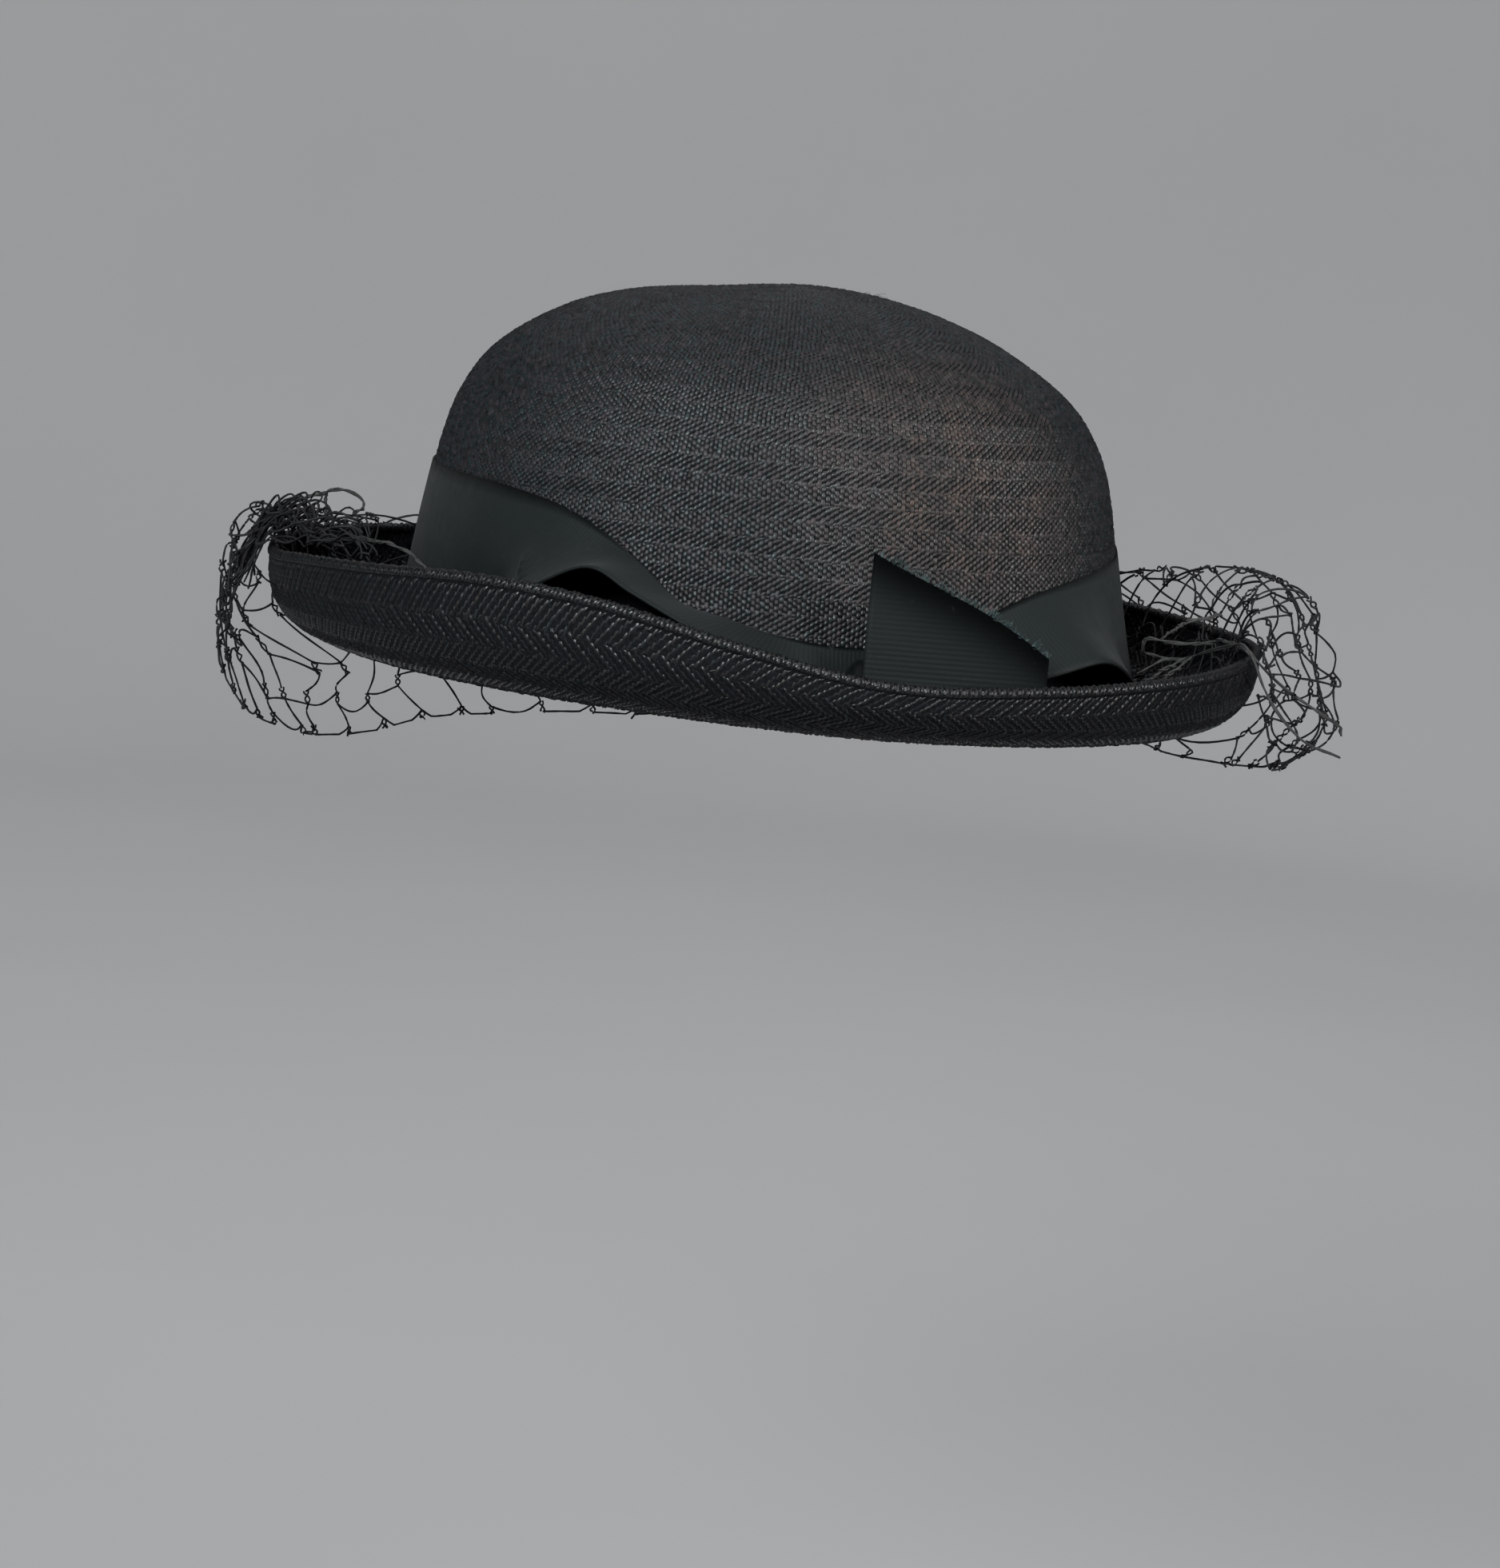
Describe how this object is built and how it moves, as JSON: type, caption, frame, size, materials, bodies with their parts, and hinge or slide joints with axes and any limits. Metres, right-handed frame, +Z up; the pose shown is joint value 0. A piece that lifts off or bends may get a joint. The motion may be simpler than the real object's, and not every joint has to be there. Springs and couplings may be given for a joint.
{
  "type": "straw bowler hat",
  "caption": "Black straw bowler with a domed crown, a turned-up brim, a ribbon band with an upright bow tail at the back, and a short net veil round the front.",
  "frame": {"origin": "middle of the head opening, on the level plane that a head fills under the brim", "axes": "+Z up through the crown, +Y to the front of the hat, +X to the right as seen from behind"},
  "size_m": [0.255, 0.2713, 0.1201],
  "materials": {
    "crown_straw": "shiny black straw in a close herringbone weave, a little faded and brown on one side",
    "brim_straw": "shiny black straw in a bolder herringbone weave",
    "band_ribbon": "matte black grosgrain with fine ribs across it",
    "bow_ribbon": "matte black grosgrain with fine ribs and a frayed cut end",
    "veil_net": "black millinery net of thin knotted thread"
  },
  "bodies": {
    "root": {"crown": "crown_straw", "brim": "brim_straw", "hat_band": "band_ribbon", "bow_knot": "bow_ribbon", "bow_tail": "bow_ribbon", "veil": "veil_net"}
  },
  "joints": []
}
